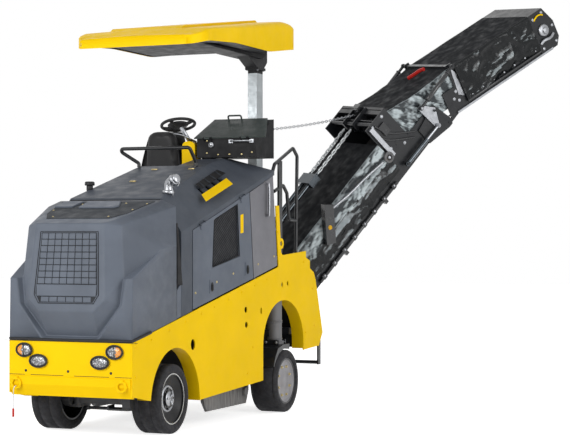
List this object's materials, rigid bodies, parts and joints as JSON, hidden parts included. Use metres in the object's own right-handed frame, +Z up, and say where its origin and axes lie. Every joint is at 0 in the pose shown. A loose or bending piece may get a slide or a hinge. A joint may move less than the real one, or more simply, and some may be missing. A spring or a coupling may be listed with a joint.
{
  "type": "cold planer milling machine",
  "caption": "Compact wheeled cold planer with a milling drum between its axles, an open driver's place under a canopy on a mast, and a folding, slewing rear conveyor.",
  "frame": {"origin": "on the ground, under the middle of the whole machine's bounding box", "axes": "+Z up; the machine's front faces -Y, its left side is +X, and the conveyor leaves towards +Y and +X"},
  "size_m": [3.3326, 6.1562, 4.0051],
  "materials": {
    "belt_rubber": "matt",
    "black_steel": "satin",
    "cast": "painted",
    "dark_hood": "satin moulding",
    "grip": "moulded",
    "lamp": "clear",
    "rod_chrome": "polished",
    "sheet": "coated cloth",
    "tyre_rubber": "worn",
    "vinyl": "grained vinyl",
    "yellow_paint": "gloss",
    "zinc": "galvanised"
  },
  "bodies": {
    "chassis": {"chassis_frame": "black_steel", "engine_block": "cast", "side_panel_left": "yellow_paint", "side_panel_right": "yellow_paint", "front_panel": "yellow_paint", "headlamps": "lamp", "front_axle": "cast", "rear_legs": "black_steel", "drum_housing": "black_steel", "side_plates": "black_steel", "hood_rear": "dark_hood", "side_wall_right": "yellow_paint", "deck": "zinc", "rear_step": "black_steel", "handrails": "black_steel", "seat": "vinyl", "seat_pedestal": "black_steel", "console": "dark_hood", "control_pod": "yellow_paint", "steering_wheel": "grip"},
    "steer_left": {"knuckle_left": "cast"},
    "steer_right": {"knuckle_right": "cast"},
    "steering_rod": {"tie_rod": "cast"},
    "front_left_wheel": {"tyre_front_left": "tyre_rubber", "wheel_front_left": "black_steel"},
    "front_right_wheel": {"tyre_front_right": "tyre_rubber", "wheel_front_right": "black_steel"},
    "rear_left_wheel": {"tyre_rear_left": "tyre_rubber", "wheel_rear_left": "black_steel"},
    "rear_right_wheel": {"tyre_rear_right": "tyre_rubber", "wheel_rear_right": "black_steel"},
    "drum": {"milling_drum": "cast"},
    "front_hood": {"hood": "dark_hood"},
    "left_door": {"side_door_left": "dark_hood"},
    "right_door": {"side_door_right": "dark_hood"},
    "rear_door": {"rear_door_left": "dark_hood"},
    "lid": {"console_lid": "dark_hood"},
    "roof": {"mast": "zinc", "canopy": "yellow_paint"},
    "slew": {"slew_bracket": "black_steel"},
    "lower_conveyor": {"lower_frame": "black_steel", "lower_belt": "belt_rubber", "lower_cover": "sheet"},
    "upper_conveyor": {"upper_frame": "black_steel", "upper_belt": "belt_rubber", "upper_cover": "sheet"},
    "cranks": {"fold_cranks": "black_steel"},
    "links": {"fold_links": "black_steel"},
    "fold_cylinders": {"fold_barrels": "black_steel"},
    "fold_pistons": {"fold_rods": "rod_chrome"},
    "lift_cylinders": {"lift_barrels": "black_steel"},
    "lift_pistons": {"lift_rods": "rod_chrome", "lift_chains": "zinc"}
  },
  "joints": [
    {"name": "steer_left_turn", "type": "hinge", "parent": "chassis", "child": "steer_left", "pos_m": [-0.56726, -2.39406, 0.28], "axis": [0, 0, 1], "range_deg": [-22, 22]},
    {"name": "steer_right_turn", "type": "hinge", "parent": "chassis", "child": "steer_right", "pos_m": [-1.14326, -2.39406, 0.28], "axis": [0, 0, 1], "range_deg": [-22, 22]},
    {"name": "steering_rod_turn", "type": "hinge", "parent": "steer_left", "child": "steering_rod", "pos_m": [-0.56726, -2.24406, 0.164], "axis": [0, 0, 1], "range_deg": [-22, 22]},
    {"name": "front_left_spin", "type": "hinge", "parent": "steer_left", "child": "front_left_wheel", "pos_m": [-0.39726, -2.39406, 0.28], "axis": [1, 0, 0], "continuous": true},
    {"name": "front_right_spin", "type": "hinge", "parent": "steer_right", "child": "front_right_wheel", "pos_m": [-1.31326, -2.39406, 0.28], "axis": [1, 0, 0], "continuous": true},
    {"name": "rear_left_spin", "type": "hinge", "parent": "chassis", "child": "rear_left_wheel", "pos_m": [-0.21226, -0.48406, 0.28], "axis": [1, 0, 0], "continuous": true},
    {"name": "rear_right_spin", "type": "hinge", "parent": "chassis", "child": "rear_right_wheel", "pos_m": [-1.49826, -0.48406, 0.28], "axis": [1, 0, 0], "continuous": true},
    {"name": "drum_spin", "type": "hinge", "parent": "chassis", "child": "drum", "pos_m": [-1.07526, -1.30406, 0.372], "axis": [1, 0, 0], "continuous": true},
    {"name": "hood_open", "type": "hinge", "parent": "chassis", "child": "front_hood", "pos_m": [-0.85526, -2.36406, 1.838], "axis": [-1, 0, 0], "range_deg": [0, 45]},
    {"name": "left_door_open", "type": "hinge", "parent": "chassis", "child": "left_door", "pos_m": [-0.21676, -2.02093, 1.6715], "axis": [-0.0744, -0.9424, -0.3261], "range_deg": [0, 75]},
    {"name": "right_door_open", "type": "hinge", "parent": "chassis", "child": "right_door", "pos_m": [-1.49377, -2.02093, 1.6715], "axis": [-0.0744, 0.9424, 0.3261], "range_deg": [0, 75]},
    {"name": "rear_door_open", "type": "hinge", "parent": "chassis", "child": "rear_door", "pos_m": [-0.16193, -1.06027, 1.22106], "axis": [0.0075, 0.0951, -0.9954], "range_deg": [0, 90]},
    {"name": "lid_open", "type": "hinge", "parent": "chassis", "child": "lid", "pos_m": [-0.85526, -0.91431, 2.46214], "axis": [1, 0, 0], "range_deg": [0, 60]},
    {"name": "roof_height", "type": "slide", "parent": "chassis", "child": "roof", "axis": [0, 0, 1], "range_m": [-0.3, 0]},
    {"name": "slew_turn", "type": "hinge", "parent": "chassis", "child": "slew", "pos_m": [-0.85526, 0.39594, 0.6], "axis": [0, -0.1564, 0.9877], "range_deg": [-7.7, 82.3]},
    {"name": "conveyor_lift", "type": "hinge", "parent": "slew", "child": "lower_conveyor", "pos_m": [-0.56649, 0.68197, 1.21727], "axis": [0.7955, -0.5985, -0.0948], "range_deg": [-15, 8]},
    {"name": "conveyor_fold", "type": "hinge", "parent": "lower_conveyor", "child": "upper_conveyor", "pos_m": [0.48566, 1.83541, 2.76357], "axis": [0.7955, -0.5985, -0.0948], "range_deg": [-30, 15]},
    {"name": "crank_turn", "type": "hinge", "parent": "lower_conveyor", "child": "cranks", "pos_m": [0.36916, 1.66312, 2.87377], "axis": [0.7955, -0.5985, -0.0948], "range_deg": [-74.11, 37.3]},
    {"name": "link_turn", "type": "hinge", "parent": "cranks", "child": "links", "pos_m": [0.26716, 1.52531, 2.88805], "axis": [0.7955, -0.5985, -0.0948], "range_deg": [-21.48, 42.47]},
    {"name": "fold_cylinder_turn", "type": "hinge", "parent": "lower_conveyor", "child": "fold_cylinders", "pos_m": [0.15022, 1.45651, 2.34107], "axis": [0.7955, -0.5985, -0.0948], "range_deg": [-8.52, 16.54]},
    {"name": "fold_piston_slide", "type": "slide", "parent": "fold_cylinders", "child": "fold_pistons", "axis": [0.4546, 0.4859, 0.7465], "range_m": [-0.108, 0.0545]},
    {"name": "lift_cylinder_turn", "type": "hinge", "parent": "slew", "child": "lift_cylinders", "pos_m": [-0.88959, 0.24613, 1.2578], "axis": [0.7955, -0.5985, -0.0948], "range_deg": [-12.84, 7.08]},
    {"name": "lift_piston_slide", "type": "slide", "parent": "lift_cylinders", "child": "lift_pistons", "axis": [0.4402, 0.4632, 0.7692], "range_m": [-0.0601, 0.1117]}
  ],
  "couplings": [
    {"joint": "steer_right_turn", "follows": "steer_left_turn", "ratio": 1},
    {"joint": "steering_rod_turn", "follows": "steer_left_turn", "ratio": -1},
    {"joint": "crank_turn", "follows": "conveyor_fold", "ratio": 2.4536},
    {"joint": "link_turn", "follows": "conveyor_fold", "ratio": -1.3989},
    {"joint": "fold_cylinder_turn", "follows": "conveyor_fold", "ratio": -0.53464},
    {"joint": "fold_piston_slide", "follows": "conveyor_fold", "m_per_rad": 0.20434},
    {"joint": "lift_cylinder_turn", "follows": "conveyor_lift", "ratio": 0.82237},
    {"joint": "lift_piston_slide", "follows": "conveyor_lift", "m_per_rad": -0.42296}
  ]
}
